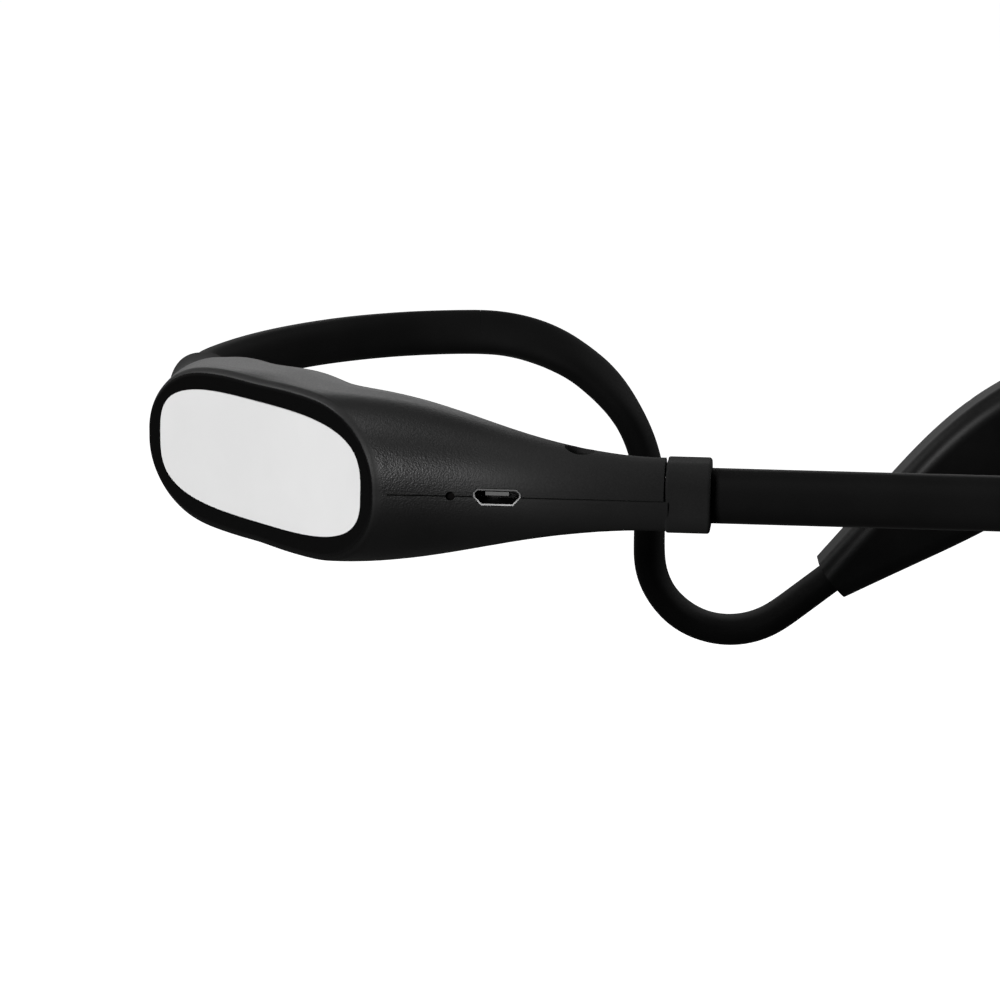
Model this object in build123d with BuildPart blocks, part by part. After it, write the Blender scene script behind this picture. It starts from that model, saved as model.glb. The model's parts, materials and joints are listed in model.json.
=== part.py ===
from build123d import *
import os
from math import copysign, cos, pi, radians, sin, sqrt

os.makedirs("parts", exist_ok=True)

# Neck reading light, worn round the neck: a flexible band, a battery pod at each end of it, and on each
# pod a flexible arm with a lamp head. The wearer faces -Y, the origin is the middle of the band's inner
# face, and the right half is built and then mirrored across the YZ plane.

# Neck band
band_height = 9.0
band_thickness = 5.4
band_corner = 2.3
band_radius = 75.0
band_turn = 110.0
band_straight = 70.0
band_tang = 15.0
band_flex = 40.0
spring_height = 5.6
spring_thickness = 1.0

# Pod, an elbow with equal legs whose outer corner is cut off by a flat facet
facet_length = 61.0
corner_depth = 22.5
corner_overrun = 9.0
corner_height = 29.0
shoulder_height = 28.0
leg_length = 47.6
leg_end_width = 11.5
leg_end_height = 11.8
leg_stations = [
    (leg_length, leg_end_width, leg_end_height),
    (39.6, 12.2, 12.4),
    (30.6, 14.6, 14.8),
    (22.1, 18.2, 18.4),
    (13.6, 22.5, 22.7),
]
corner_share = 0.47
wall = 1.6
seam_gap = 0.2
collar_gap = 0.2
collar_lean = 0.3
collar_length = 7.2
collar_width = 10.6
collar_height = 11.6
collar_corner = 3.2
collar_round = 0.5
arm_splay = 6.0
arm_leg_low = 0.9

# End cap and label
cap_thickness = 1.8
cap_round = 1.4
cap_spigot = 1.6
spigot_length = 56.0
spigot_height = 20.0
spigot_wall = 1.5
label_length = 56.4
label_height = 20.6
label_power = 3.2
label_points = 40
label_thickness = 0.35
label_sink = 0.05

# Board, switch, button, socket and charge light, on the band leg
board_start = 9.6
board_end = 38.1
board_width = 6.8
board_thickness = 1.0
post_radius = 1.4
post_inset = 5.0
switch_size = 4.5
switch_height = 3.1
plunger_radius = 1.2
plunger_height = 0.5
button_x = 33.6
button_radius = 2.2
button_top = 5.8
button_travel = 0.5
flange_radius = 2.8
flange_height = 0.8
button_dome = 0.4
socket_x = 20.8
socket_width = 7.7
socket_top = 6.4
socket_foot = 5.2
socket_height = 2.7
socket_shoulder = 0.7
socket_slant = 1.4
socket_depth = 5.2
socket_wall = 0.25
tongue_width = 3.8
tongue_height = 0.6
tongue_rise = 0.5
light_x = 13.2
light_radius = 0.65
light_length = 3.0
light_recess = 0.8

# Battery cell and shell screws
cell_length = 40.0
cell_height = 18.0
cell_depth = 8.0
cell_corner = 1.5
rib_spread = 12.0
rib_thickness = 1.6
screw_x = 15.6
screw_y = 16.0
boss_radius = 3.0
screw_radius = 1.0
screw_head_radius = 1.8
screw_head_height = 1.3
screw_seat = -5.5
screw_bite = 4.0

# Lamp arm, a flat oval sleeve over a bendable wire
arm_width = 8.5
arm_thickness = 5.4
arm_corner = 2.5
arm_tilt = 4.0
arm_tang = 12.0
arm_lean = 30.0
swing_reach = 4.2
swing_limit = 45.0
arm_lead = 4.0
sweep_radius = 56.5
drop_radius = 33.3
drop_straight = 10.8
bend_limit = 60.0
hook_radius = 16.1
hook_turn = 128.6
tip_lead = 4.0
tip_limit = 45.0
tip_straight = 8.2
twist_start = 25.0
twist_run = 45.0
wire_radius = 1.5
step_angle = 15.0

# Lamp head
head_stations = [
    (0.0, 8.4, 11.6),
    (10.0, 12.6, 11.6),
    (20.0, 16.9, 11.6),
    (31.0, 21.0, 11.4),
    (46.0, 22.4, 10.8),
    (58.0, 18.6, 9.4),
]
head_corner = 3.6
head_nose = 3.0
head_split = 1.6
arm_insert = 8.0
lens_centre = 38.0
lens_length = 32.0
lens_width = 14.0
lens_thickness = 1.8
lens_top = 5.0
window_ledge = 1.2
led_board_length = 36.0
led_board_width = 15.0
led_board_thickness = 1.0
led_count = 4
led_pitch = 7.0
led_length = 3.5
led_width = 2.8
led_height = 0.8

# Fits
slide_clearance = 0.3
seat_clearance = 0.1
knuckle_clearance = 0.15

# Where the pod sits: its x axis runs along the band leg, its y axis along the arm leg
half_turn = radians(band_turn / 2)
band_centre_y = band_thickness / 2 - band_radius
band_y = leg_end_width / 2
collar_start = leg_length + collar_gap
collar_end = collar_start + collar_length
flex_x = collar_end + band_straight
band_end = Vector(-band_radius * sin(half_turn), band_centre_y + band_radius * cos(half_turn), 0)
pod_x_dir = Vector(cos(half_turn), sin(half_turn), 0)
pod_y_dir = Vector(-sin(half_turn), cos(half_turn), 0)
pod_seat = Plane(origin=band_end - pod_x_dir * flex_x - pod_y_dir * band_y, x_dir=pod_x_dir, z_dir=(0, 0, 1))


def write_side(piece, name, side):
    moved = pod_seat.location * piece.part
    with BuildPart() as seated:
        if side == "right":
            add(moved)
        else:
            mirror(moved, about=Plane.YZ)
    seated.part.label = f"{name}_{side}"
    export_step(seated.part, f"parts/{name}_{side}.step")


def write_pair(piece, name):
    for side in ("right", "left"):
        write_side(piece, name, side)


def cup_radius(thickness, limit):
    return thickness / 2 / cos(radians(limit / 2)) + knuckle_clearance


# Half round end of a strip, turned about the strip's wide axis
def knuckle(pivot, wide, out, thickness, width, corner):
    thin = out.cross(wide)
    with BuildPart() as end:
        with BuildSketch(Plane(origin=pivot, x_dir=thin, z_dir=thin.cross(wide))):
            RectangleRounded(thickness, width, corner)
            Rectangle(thickness, width, align=(Align.MAX, Align.CENTER), mode=Mode.SUBTRACT)
        revolve(axis=Axis(pivot, wide), revolution_arc=180)
    return end.part


# Round bar that hollows the neighbour's end so that a knuckle can turn in it
def cup(pivot, wide, radius, width):
    with BuildPart() as bar:
        with BuildSketch(Plane(origin=pivot, z_dir=wide)):
            Circle(radius)
        extrude(amount=width, both=True)
    return bar.part


# Neck band
flex_cup_radius = cup_radius(band_thickness, band_flex)
band_axis = Axis((0, band_centre_y, 0), (0, 0, 1))
band_section = Plane(
    origin=(0, band_centre_y, 0),
    x_dir=(sin(half_turn), cos(half_turn), 0),
    z_dir=(cos(half_turn), -sin(half_turn), 0),
)
flex_cups = [
    cup(Vector(side * band_end.X, band_end.Y, 0), Vector(0, 0, 1), flex_cup_radius, band_height)
    for side in (1, -1)
]

with BuildPart() as band_sleeve_mid:
    with BuildSketch(band_section):
        with Locations((band_radius, 0)):
            RectangleRounded(band_thickness, band_height, band_corner)
            Rectangle(
                spring_thickness + 2 * seat_clearance,
                spring_height + 2 * seat_clearance,
                mode=Mode.SUBTRACT,
            )
    revolve(axis=band_axis, revolution_arc=band_turn)
    for flex_cup in flex_cups:
        add(flex_cup, mode=Mode.SUBTRACT)
band_sleeve_mid.part.label = "band_sleeve_mid"
export_step(band_sleeve_mid.part, "parts/band_sleeve_mid.step")

with BuildPart() as band_core_mid:
    with BuildSketch(band_section):
        with Locations((band_radius, 0)):
            Rectangle(spring_thickness, spring_height)
    revolve(axis=band_axis, revolution_arc=band_turn)
    for flex_cup in flex_cups:
        add(flex_cup, mode=Mode.SUBTRACT)
band_core_mid.part.label = "band_core_mid"
export_step(band_core_mid.part, "parts/band_core_mid.step")

band_start = collar_end - band_tang
band_leg_plane = Plane(origin=(band_start, band_y, 0), x_dir=(0, 1, 0), z_dir=(1, 0, 0))
band_leg_length = flex_x - band_start
flex_pivot = Vector(flex_x, band_y, 0)
band_end_round = knuckle(
    flex_pivot, Vector(0, 0, 1), Vector(1, 0, 0), band_thickness, band_height, band_corner
)

with BuildPart() as band_sleeve:
    with BuildSketch(band_leg_plane):
        RectangleRounded(band_thickness, band_height, band_corner)
    extrude(amount=band_leg_length)
    add(band_end_round)
    with BuildSketch(band_leg_plane):
        Rectangle(spring_thickness + 2 * seat_clearance, spring_height + 2 * seat_clearance)
    extrude(amount=band_leg_length - band_thickness, mode=Mode.SUBTRACT)
write_pair(band_sleeve, "band_sleeve")

with BuildPart() as band_core:
    with BuildSketch(band_leg_plane):
        Rectangle(spring_thickness, spring_height)
    extrude(amount=band_leg_length - band_thickness - seat_clearance)
write_pair(band_core, "band_core")

# Sections of the pod along its elbow, from the band leg's end to the arm leg's end
facet_run = facet_length / sqrt(2)
elbow_x, elbow_width = leg_stations[-1][:2]
elbow_y = elbow_x + facet_run
facet_reach = (elbow_x + elbow_y) / sqrt(2)
shoulder_angle = radians(22.5)
shoulder_share = 0.5
corner_angle = radians(45)


def leg_section(x, width, height):
    return ((x, width / 2), (0, 1), width, height, 0)


def elbow_section(angle, inner_reach, outer_reach, height):
    middle = (inner_reach + outer_reach) / 2
    origin = (elbow_x - sin(angle) * middle, elbow_y - cos(angle) * middle)
    return (origin, (sin(angle), cos(angle)), outer_reach - inner_reach, height, 0)


# The arm leg mirrors the band leg across the corner, splays out about the facet's far end
# and has a lower crown
def splayed(x, y, share):
    turn = radians(arm_splay * share)
    return (x * cos(turn) - y * sin(turn), x * sin(turn) + y * cos(turn))


def across_corner(x, y, share=1):
    from_end = splayed(y, x, share)
    return (from_end[0] - facet_run, from_end[1] + facet_run)


def mirrored_section(section, share):
    (x, y), (across_x, across_y), width, height, _ = section
    across = splayed(across_y, across_x, share)
    return (across_corner(x, y, share), across, width, height, arm_leg_low * share)


inner_at_elbow = elbow_y - elbow_width
inner_at_corner = facet_reach - corner_depth
inner_at_shoulder = (inner_at_elbow + inner_at_corner) / 2
leg_sections = [leg_section(*station) for station in leg_stations]
shoulder_section = elbow_section(
    shoulder_angle, inner_at_shoulder, elbow_y / cos(shoulder_angle), shoulder_height
)
corner_section = elbow_section(corner_angle, inner_at_corner, facet_reach + corner_overrun, corner_height)


def pod_loft(inset, first_leg_section):
    legs = leg_sections[first_leg_section:]
    far_legs = [mirrored_section(section, 1) for section in reversed(legs)]
    far_shoulder = mirrored_section(shoulder_section, shoulder_share)
    sections = legs + [shoulder_section, corner_section, far_shoulder] + far_legs
    with BuildPart() as form:
        for (x, y), (across_x, across_y), width, height, low in sections:
            with BuildSketch(
                Plane(origin=(x, y, -low / 2), x_dir=(across_x, across_y, 0), z_dir=(-across_y, across_x, 0))
            ):
                corner = corner_share * min(width, height - low) - inset
                RectangleRounded(width - 2 * inset, height - low - 2 * inset, corner)
        loft()
    return form.part


facet = Plane(
    origin=(-facet_run / 2, facet_run / 2, 0),
    x_dir=(sqrt(0.5), -sqrt(0.5), 0),
    z_dir=(-sqrt(0.5), -sqrt(0.5), 0),
)
cap_seat = facet.offset(-cap_thickness)
whole_loft = pod_loft(0, 0)
mid_wall = pod_loft(wall / 2, 0)
cavity = pod_loft(wall, 1)

with BuildPart() as pod_form:
    add(whole_loft)
    split(bisect_by=facet, keep=Keep.BOTTOM)

# Arm frame: u across the mouth, v out of it, w up, leaning up a little
arm_x, arm_mouth_y = across_corner(leg_length, band_y)
lean = radians(arm_tilt)
arm_out = splayed(0, 1, 1)
arm_seat = Plane(
    origin=(arm_x, arm_mouth_y, 0),
    x_dir=(*splayed(1, 0, 1), 0),
    z_dir=(-arm_out[0] * sin(lean), -arm_out[1] * sin(lean), cos(lean)),
)


def arm_point(u, v, w):
    return arm_seat.from_local_coords(Vector(u, v, w))


def arm_dir(u, v, w):
    return arm_point(u, v, w) - arm_seat.origin


arm_mouth = Plane(origin=arm_point(0, 0, 0), x_dir=arm_dir(1, 0, 0), z_dir=arm_dir(0, -1, 0))

# Pod walls, open at the facet and at both mouths
band_slot = band_leg_plane.offset(-seat_clearance)
with BuildPart() as pod_walls:
    add(pod_form.part)
    split(bisect_by=cap_seat, keep=Keep.BOTTOM)
    add(cavity, mode=Mode.SUBTRACT)
    with BuildSketch(band_slot):
        RectangleRounded(
            band_thickness + 2 * seat_clearance,
            band_height + 2 * seat_clearance,
            band_corner + seat_clearance,
        )
    extrude(amount=band_leg_length, mode=Mode.SUBTRACT)
    with BuildSketch(arm_mouth.offset(-arm_tang)):
        RectangleRounded(
            arm_thickness + 2 * seat_clearance, arm_width + 2 * seat_clearance, arm_corner + seat_clearance
        )
    extrude(amount=2 * arm_tang + seat_clearance, mode=Mode.SUBTRACT)

screw_points = [(screw_x, screw_y), across_corner(screw_x, screw_y)]
board_top = -socket_height / 2
board_bottom = board_top - board_thickness
board_y = leg_stations[1][1] / 2 + slide_clearance / 2
board_length = board_end - board_start
post_points = [(board_start + post_inset, board_y), (board_end - post_inset, board_y)]
button_y = (leg_stations[1][1] + leg_stations[2][1]) / 4
cell_middle = cap_thickness + cap_spigot + slide_clearance + cell_depth / 2
cell_plane = Plane(
    origin=facet.from_local_coords(Vector(0, -cell_height / 2, -cell_middle)),
    x_dir=facet.x_dir,
    z_dir=(0, 0, 1),
)
socket_plane = Plane(origin=(socket_x, 0, 0), x_dir=(1, 0, 0), z_dir=(0, -1, 0))
light_plane = Plane(origin=(light_x, 0, 0), x_dir=(1, 0, 0), z_dir=(0, -1, 0))


# Outline of the charging socket, wide at the top and drawn in at the foot, grown by a margin
def socket_outline(margin):
    top = socket_top / 2 + margin / 2
    wide = socket_width / 2 + margin
    foot = socket_foot / 2 + margin / 2
    high = socket_height / 2 + margin
    shoulder = socket_height / 2 - socket_shoulder
    slant = socket_slant - socket_height / 2
    half = [(top, high), (wide, shoulder), (wide, slant), (foot, -high)]
    with BuildSketch() as outline:
        with BuildLine():
            Polyline(*half, *((-x, y) for x, y in reversed(half)), close=True)
        make_face()
    return outline.sketch


with BuildPart() as port:
    with BuildSketch(socket_plane.offset(wall)):
        add(socket_outline(seat_clearance))
    extrude(amount=-3 * wall)
    with BuildSketch(light_plane.offset(wall)):
        Circle(light_radius + seat_clearance)
    extrude(amount=-3 * wall)

# Bosses, posts and ribs stand on the shells: their far ends are bedded in the middle of the wall
with BuildPart() as upper_bosses:
    with BuildSketch(Plane.XY.offset(seam_gap / 2)):
        with Locations(*screw_points):
            Circle(boss_radius)
    extrude(amount=corner_height)
    add(mid_wall, mode=Mode.INTERSECT)

with BuildPart() as lower_bosses:
    with BuildSketch(Plane.XY.offset(-seam_gap / 2)):
        with Locations(*screw_points):
            Circle(boss_radius)
    extrude(amount=-corner_height)
    with BuildSketch(Plane.XY.offset(board_bottom)):
        with Locations(*post_points):
            Circle(post_radius)
    extrude(amount=-corner_height)
    with BuildSketch(cell_plane):
        with Locations((-rib_spread, 0), (rib_spread, 0)):
            Rectangle(rib_thickness, cell_depth)
    extrude(amount=-corner_height)
    add(mid_wall, mode=Mode.INTERSECT)


def upper_shell(has_port):
    with BuildPart() as shell:
        add(pod_walls.part)
        split(bisect_by=Plane.XY.offset(seam_gap / 2), keep=Keep.TOP)
        add(upper_bosses.part)
        with BuildSketch(Plane.XY):
            with Locations(*screw_points):
                Circle(screw_radius + seat_clearance / 2)
        extrude(amount=screw_bite + slide_clearance, mode=Mode.SUBTRACT)
        with BuildSketch(Plane.XY.offset(board_top)):
            with Locations((button_x, button_y)):
                Circle(button_radius + slide_clearance)
        extrude(amount=corner_height, mode=Mode.SUBTRACT)
        if has_port:
            add(port.part, mode=Mode.SUBTRACT)
    return shell


def lower_shell(has_port):
    with BuildPart() as shell:
        add(pod_walls.part)
        split(bisect_by=Plane.XY.offset(-seam_gap / 2), keep=Keep.BOTTOM)
        add(lower_bosses.part)
        with BuildSketch(Plane.XY):
            with Locations(*screw_points):
                Circle(screw_radius + seat_clearance)
        extrude(amount=-corner_height, mode=Mode.SUBTRACT)
        with BuildSketch(Plane.XY.offset(screw_seat)):
            with Locations(*screw_points):
                Circle(screw_head_radius + seat_clearance)
        extrude(amount=-corner_height, mode=Mode.SUBTRACT)
        if has_port:
            add(port.part, mode=Mode.SUBTRACT)
        add(collar.part)
    return shell


# Collar ring round the band, moulded on the lower shell below the seam and clear of the upper one
collar_plane = Plane(origin=(collar_start, band_y, 0), x_dir=(0, 1, 0), z_dir=(1, 0, 0))
with BuildPart() as collar:
    with BuildSketch(collar_plane):
        RectangleRounded(collar_width, collar_height, collar_corner)
    extrude(amount=collar_length)
    collar_ends = collar.faces().sort_by(Axis.X)
    fillet(collar_ends[0].edges() + collar_ends[-1].edges(), collar_round)
    with BuildSketch(Plane.XZ):
        with BuildLine():
            Polyline(
                (collar_start, seam_gap / 2),
                (collar_start + collar_lean, collar_height),
                (collar_start - collar_gap, collar_height),
                (collar_start - collar_gap, seam_gap / 2),
                close=True,
            )
        make_face()
    extrude(amount=2 * leg_end_width, both=True, mode=Mode.SUBTRACT)
    with BuildSketch(collar_plane.offset(-collar_gap)):
        RectangleRounded(leg_end_width, leg_end_height, corner_share * leg_end_width)
        with Locations((0, -seam_gap / 2)):
            Rectangle(2 * leg_end_width, leg_end_height, align=(Align.CENTER, Align.MIN), mode=Mode.SUBTRACT)
    extrude(amount=collar_gap + collar_round)
    with BuildSketch(collar_plane.offset(-collar_gap)):
        RectangleRounded(
            band_thickness + 2 * seat_clearance,
            band_height + 2 * seat_clearance,
            band_corner + seat_clearance,
        )
    extrude(amount=collar_length + 2 * collar_gap, mode=Mode.SUBTRACT)

write_side(upper_shell(True), "upper_shell", "right")
write_side(upper_shell(False), "upper_shell", "left")
write_side(lower_shell(True), "lower_shell", "right")
write_side(lower_shell(False), "lower_shell", "left")


# Oval outline of the label, full at its corners
def label_outline(margin):
    points = []
    for step in range(label_points):
        along = cos(2 * pi * step / label_points)
        across = sin(2 * pi * step / label_points)
        x = copysign(abs(along) ** (2 / label_power), along) * (label_length / 2 + margin)
        y = copysign(abs(across) ** (2 / label_power), across) * (label_height / 2 + margin)
        points.append((x, y))
    with BuildSketch() as outline:
        with BuildLine():
            Spline(*points, periodic=True)
        make_face()
    return outline.sketch


# End cap, rounded at its rim, with a hollow spigot that enters the shells
def end_cap(has_label):
    with BuildPart() as cap:
        add(pod_form.part)
        split(bisect_by=cap_seat, keep=Keep.TOP)
        rim = cap.faces().filter_by(GeomType.PLANE).sort_by(Axis(facet.origin, facet.z_dir))[-1]
        fillet(rim.edges(), cap_round)
        with BuildSketch(cap_seat):
            SlotOverall(spigot_length, spigot_height)
            SlotOverall(spigot_length - 2 * spigot_wall, spigot_height - 2 * spigot_wall, mode=Mode.SUBTRACT)
        extrude(amount=-cap_spigot)
        if has_label:
            with BuildSketch(facet):
                add(label_outline(seat_clearance))
            extrude(amount=-label_thickness - label_sink, mode=Mode.SUBTRACT)
    return cap


write_side(end_cap(True), "end_cap", "right")
write_side(end_cap(False), "end_cap", "left")

with BuildPart() as rating_label:
    with BuildSketch(facet.offset(-label_sink)):
        add(label_outline(0))
    extrude(amount=-label_thickness)
write_side(rating_label, "rating_label", "right")

# Inner pieces of the pod
board_middle = (board_start + board_end) / 2
with BuildPart() as circuit_board:
    with BuildSketch(Plane.XY.offset(board_bottom)):
        with Locations((board_middle, board_y)):
            RectangleRounded(board_length, board_width, post_radius)
    extrude(amount=board_thickness)
write_pair(circuit_board, "circuit_board")

with BuildPart() as button_switch:
    with BuildSketch(Plane.XY.offset(board_top)):
        with Locations((button_x, button_y)):
            Rectangle(switch_size, switch_size)
    extrude(amount=switch_height)
    with BuildSketch(Plane.XY.offset(board_top + switch_height)):
        with Locations((button_x, button_y)):
            Circle(plunger_radius)
    extrude(amount=plunger_height)
write_pair(button_switch, "button_switch")

button_foot = board_top + switch_height + plunger_height + button_travel + seat_clearance
with BuildPart() as button:
    with BuildSketch(Plane.XY.offset(button_foot)):
        with Locations((button_x, button_y)):
            Circle(flange_radius)
    extrude(amount=flange_height)
    with BuildSketch(Plane.XY.offset(button_foot + flange_height)):
        with Locations((button_x, button_y)):
            Circle(button_radius)
    extrude(amount=button_top - button_foot - flange_height)
    fillet(button.faces().sort_by(Axis.Z)[-1].edges(), button_dome)
write_pair(button, "button")

with BuildPart() as usb_socket:
    with BuildSketch(socket_plane):
        add(socket_outline(0))
        add(socket_outline(-socket_wall), mode=Mode.SUBTRACT)
    extrude(amount=-socket_depth)
    with BuildSketch(socket_plane.offset(-socket_depth)):
        add(socket_outline(0))
    extrude(amount=socket_wall)
    with BuildSketch(socket_plane.offset(-socket_depth)):
        with Locations((0, tongue_rise)):
            Rectangle(tongue_width, tongue_height)
    extrude(amount=socket_depth - 2 * socket_wall)
write_side(usb_socket, "usb_socket", "right")

with BuildPart() as charge_light:
    with BuildSketch(light_plane.offset(-light_recess)):
        Circle(light_radius)
    extrude(amount=-light_length)
write_side(charge_light, "charge_light", "right")

with BuildPart() as battery_cell:
    with BuildSketch(cell_plane):
        RectangleRounded(cell_length, cell_depth, cell_corner)
    extrude(amount=cell_height)
write_pair(battery_cell, "battery_cell")

with BuildPart() as shell_screws:
    with BuildSketch(Plane.XY.offset(screw_seat)):
        with Locations(*screw_points):
            Circle(screw_head_radius)
    extrude(amount=-screw_head_height)
    with BuildSketch(Plane.XY.offset(screw_seat)):
        with Locations(*screw_points):
            Circle(screw_radius)
    extrude(amount=screw_bite - screw_seat)
write_pair(shell_screws, "shell_screws")

# Route of the arm in its own frame: a level sweep, a drop, a hook and a short straight to the head
swing_pivot = Vector(0, swing_reach, 0)
lead_heading = 90 - arm_lean
lead_dir = Vector(cos(radians(lead_heading)), sin(radians(lead_heading)), 0)
sweep_start = swing_pivot + lead_dir * arm_lead
sweep_centre = sweep_start + Vector(lead_dir.Y, -lead_dir.X, 0) * sweep_radius
drop_centre = sweep_centre + Vector(0, sweep_radius, -drop_radius)
drop_end = drop_centre + Vector(drop_radius, 0, 0)
bend_pivot = drop_end - Vector(0, 0, drop_straight / 2)
hook_start = drop_end - Vector(0, 0, drop_straight)
hook_centre = hook_start + Vector(hook_radius, 0, 0)
hook_end_angle = radians(180 + hook_turn)
hook_end = hook_centre + Vector(cos(hook_end_angle), 0, sin(hook_end_angle)) * hook_radius
tip_dir = Vector(-sin(hook_end_angle), 0, cos(hook_end_angle))
tip_pivot = hook_end + tip_dir * tip_lead
head_mouth = tip_pivot + tip_dir * tip_straight


def sweep_point(angle):
    return sweep_centre + Vector(cos(radians(angle)), sin(radians(angle)), 0) * sweep_radius


def drop_point(angle):
    return drop_centre + Vector(cos(radians(angle)), 0, sin(radians(angle))) * drop_radius


def hook_point(angle):
    return hook_centre + Vector(cos(radians(angle)), 0, sin(radians(angle))) * hook_radius


def placed(vector):
    return arm_point(vector.X, vector.Y, vector.Z)


def turned(vector):
    return arm_dir(vector.X, vector.Y, vector.Z)


# Plane across the sleeve: thin axis first, then wide axis, twisted away from the upright
def sleeve_plane(point, heading, upright, twist):
    side = upright.cross(heading)
    wide = upright * cos(radians(twist)) + side * sin(radians(twist))
    return Plane(origin=placed(point), x_dir=turned(wide.cross(heading)), z_dir=turned(heading))


def steps(start, end):
    count = max(2, round(abs(end - start) / step_angle))
    return [start + (end - start) * step / count for step in range(1, count + 1)]


up = Vector(0, 0, 1)
near_planes = [
    sleeve_plane(swing_pivot, lead_dir, up, 0),
    sleeve_plane(sweep_start, lead_dir, up, 0),
]
for angle in steps(90 + lead_heading, 90):
    heading = Vector(sin(radians(angle)), -cos(radians(angle)), 0)
    progress = (90 + lead_heading - angle) / lead_heading
    near_planes.append(sleeve_plane(sweep_point(angle), heading, up, twist_start * progress))
for angle in steps(90, 0):
    heading = Vector(sin(radians(angle)), 0, -cos(radians(angle)))
    upright = Vector(cos(radians(angle)), 0, sin(radians(angle)))
    progress = min(1, (90 - angle) / twist_run)
    twist = twist_start + (90 - twist_start) * progress
    near_planes.append(sleeve_plane(drop_point(angle), heading, upright, twist))
near_planes.append(sleeve_plane(bend_pivot, -up, Vector(1, 0, 0), 90))

# Hinge axes run along the sleeve's wide side
swing_axis_dir = turned(up)
fold_axis_dir = turned(Vector(0, 1, 0))
swing_cup = cup(placed(swing_pivot), swing_axis_dir, cup_radius(arm_thickness, swing_limit), arm_width)
bend_cup = cup(placed(bend_pivot), fold_axis_dir, cup_radius(arm_thickness, bend_limit), arm_width)
tip_cup = cup(placed(tip_pivot), fold_axis_dir, cup_radius(arm_thickness, tip_limit), arm_width)
sleeve_size = (arm_thickness, arm_width, arm_corner)
near_knuckle = knuckle(placed(swing_pivot), swing_axis_dir, turned(-lead_dir), *sleeve_size)
far_knuckle = knuckle(placed(bend_pivot), fold_axis_dir, turned(up), *sleeve_size)
tip_knuckle = knuckle(placed(tip_pivot), fold_axis_dir, turned(-tip_dir), *sleeve_size)

with BuildPart() as arm_sleeve_root:
    with BuildSketch(arm_mouth.offset(arm_tang)):
        RectangleRounded(*sleeve_size)
    extrude(amount=-arm_tang - swing_reach)
    add(swing_cup, mode=Mode.SUBTRACT)
write_pair(arm_sleeve_root, "arm_sleeve_root")

# Wire route through the level sweep and the drop
with BuildLine() as near_route:
    Line(placed(swing_pivot + lead_dir * (arm_lead / 2)), placed(sweep_start))
    ThreePointArc(
        placed(sweep_start), placed(sweep_point(90 + lead_heading / 2)), placed(sweep_point(90))
    )
    ThreePointArc(placed(drop_point(90)), placed(drop_point(45)), placed(drop_end))
    Line(placed(drop_end), placed(bend_pivot))
near_start = Plane(origin=near_route.line @ 0, z_dir=near_route.line % 0)

with BuildPart() as near_bore:
    with BuildSketch(near_start):
        Circle(wire_radius + seat_clearance)
    sweep(path=near_route.line)

with BuildPart() as arm_sleeve_near:
    for plane in near_planes:
        with BuildSketch(plane):
            RectangleRounded(*sleeve_size)
    loft()
    add(near_knuckle)
    add(near_bore.part, mode=Mode.SUBTRACT)
    add(bend_cup, mode=Mode.SUBTRACT)
write_pair(arm_sleeve_near, "arm_sleeve_near")

with BuildPart() as arm_core_near:
    with BuildSketch(near_start):
        Circle(wire_radius)
    sweep(path=near_route.line)
    add(bend_cup, mode=Mode.SUBTRACT)
write_pair(arm_core_near, "arm_core_near")

# Far length of the sleeve, round the hook
hook_middle = 180 + hook_turn / 2
with BuildLine() as far_route:
    Line(placed(bend_pivot), placed(hook_start))
    ThreePointArc(placed(hook_start), placed(hook_point(hook_middle)), placed(hook_end))
    Line(placed(hook_end), placed(tip_pivot))
with BuildLine() as far_wire:
    Line(placed(bend_pivot - up * (drop_straight / 4)), placed(hook_start))
    ThreePointArc(placed(hook_start), placed(hook_point(hook_middle)), placed(hook_end))
    Line(placed(hook_end), placed(tip_pivot))
far_start = Plane(origin=far_wire.line @ 0, z_dir=far_wire.line % 0)

with BuildPart() as far_bore:
    with BuildSketch(far_start):
        Circle(wire_radius + seat_clearance)
    sweep(path=far_wire.line)

with BuildPart() as arm_sleeve_far:
    with BuildSketch(sleeve_plane(bend_pivot, -up, Vector(1, 0, 0), 90)):
        RectangleRounded(*sleeve_size)
    sweep(path=far_route.line)
    add(far_knuckle)
    add(far_bore.part, mode=Mode.SUBTRACT)
    add(tip_cup, mode=Mode.SUBTRACT)
write_pair(arm_sleeve_far, "arm_sleeve_far")

with BuildPart() as arm_core_far:
    with BuildSketch(far_start):
        Circle(wire_radius)
    sweep(path=far_wire.line)
    add(tip_cup, mode=Mode.SUBTRACT)
write_pair(arm_core_far, "arm_core_far")

tip_upright = Vector(-tip_dir.Z, 0, tip_dir.X)
with BuildPart() as arm_sleeve_tip:
    with BuildSketch(sleeve_plane(tip_pivot, tip_dir, tip_upright, 90)):
        RectangleRounded(*sleeve_size)
    extrude(amount=tip_straight + arm_insert)
    add(tip_knuckle)
write_pair(arm_sleeve_tip, "arm_sleeve_tip")

# Lamp head: a cone that opens into a flat paddle, lit on the side that faces out of the arm's plane
head_plane = Plane(origin=placed(head_mouth), x_dir=turned(-tip_upright), z_dir=turned(tip_dir))
light_side = Plane(origin=placed(head_mouth), x_dir=turned(tip_dir), z_dir=fold_axis_dir)
split_plane = light_side.offset(head_split)

with BuildPart() as head_form:
    for reach, width, thickness in head_stations:
        with BuildSketch(head_plane.offset(reach)):
            RectangleRounded(width, thickness, head_corner)
    loft()
    nose = head_form.faces().filter_by(GeomType.PLANE).sort_by(Axis(head_plane.origin, head_plane.z_dir))[-1]
    fillet(nose.edges(), head_nose)

with BuildPart() as arm_hole:
    with BuildSketch(head_plane.offset(-seat_clearance)):
        RectangleRounded(
            arm_thickness + 2 * seat_clearance, arm_width + 2 * seat_clearance, arm_corner + seat_clearance
        )
    extrude(amount=arm_insert + 2 * seat_clearance)

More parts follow.
